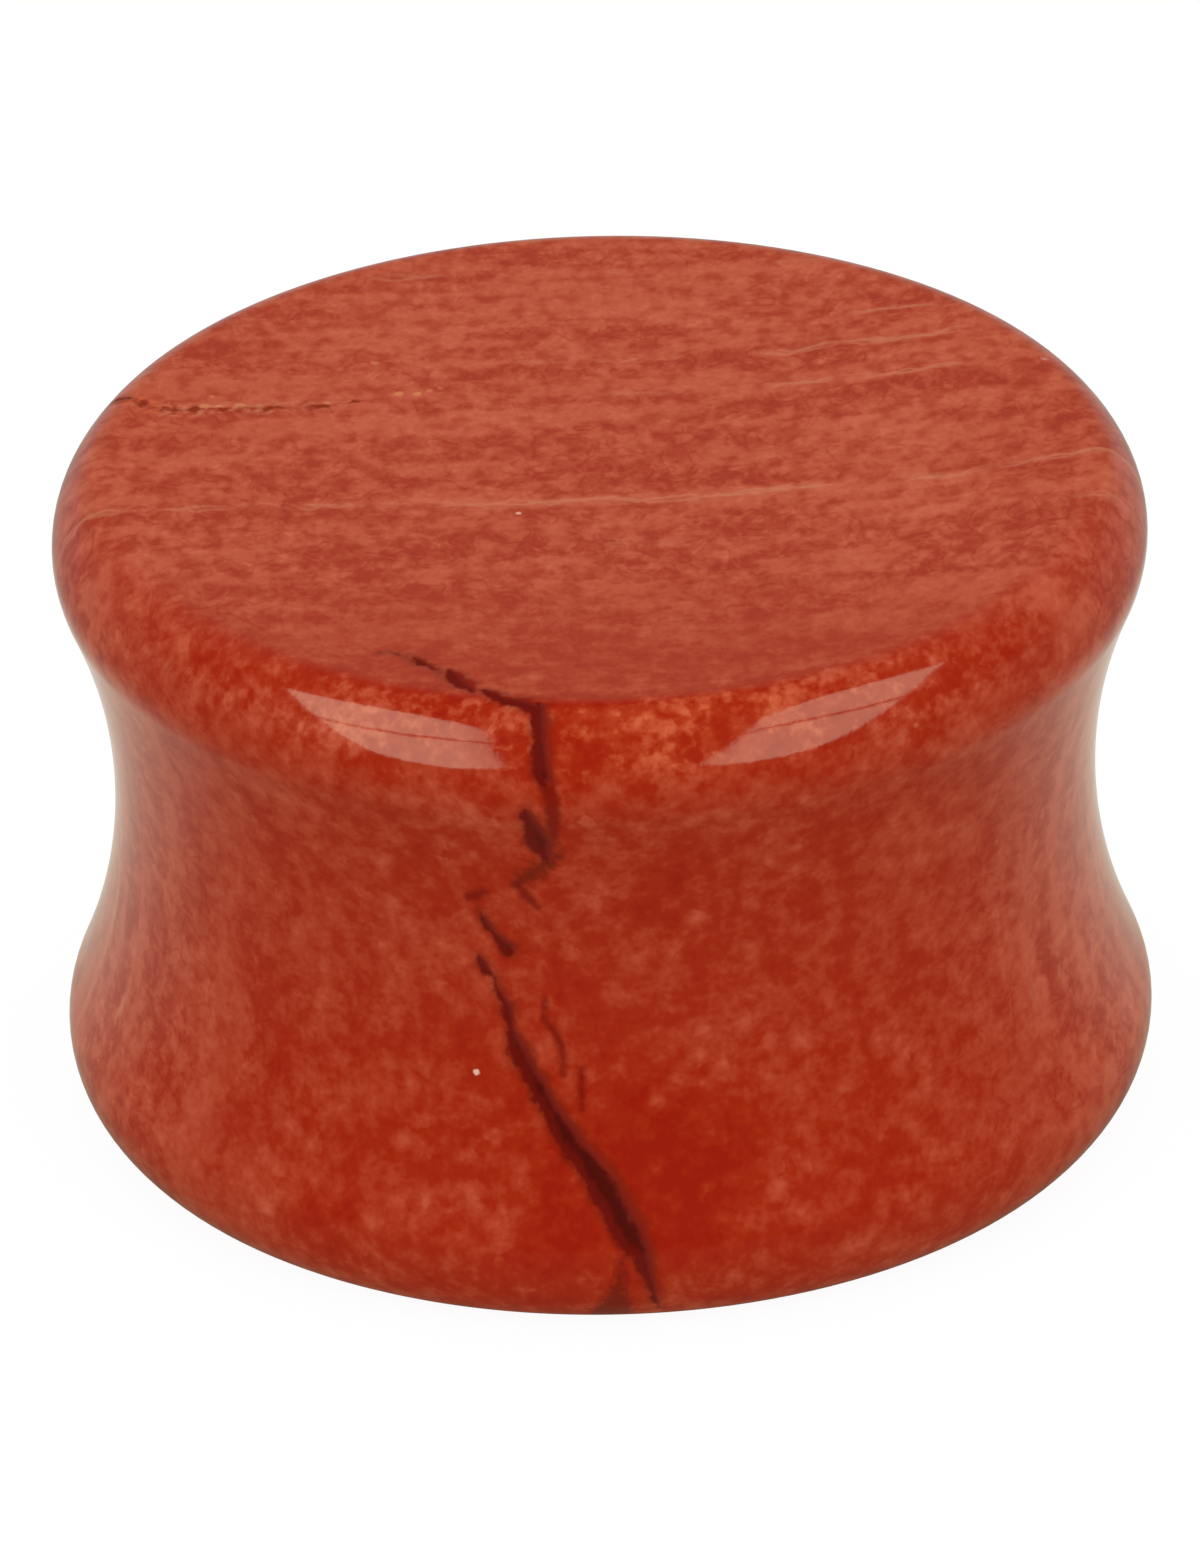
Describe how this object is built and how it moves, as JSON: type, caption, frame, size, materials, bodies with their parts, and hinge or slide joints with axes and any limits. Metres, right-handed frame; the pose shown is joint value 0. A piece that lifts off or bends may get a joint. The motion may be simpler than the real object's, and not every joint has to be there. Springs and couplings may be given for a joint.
{
  "type": "double-flared ear plug",
  "caption": "Solid round stone ear plug with a hollowed waist between rounded flares and a flat polished face at each end, crossed by an open dark vein.",
  "frame": {"origin": "centre of the back flat face, on which the plug stands", "axes": "+Z along the plug's axis, from the back face to the front face; the side with the dark vein faces -Y"},
  "size_m": [0.02, 0.02, 0.0126],
  "materials": {
    "jasper": "polished"
  },
  "bodies": {
    "root": {"plug": "jasper"}
  },
  "joints": []
}
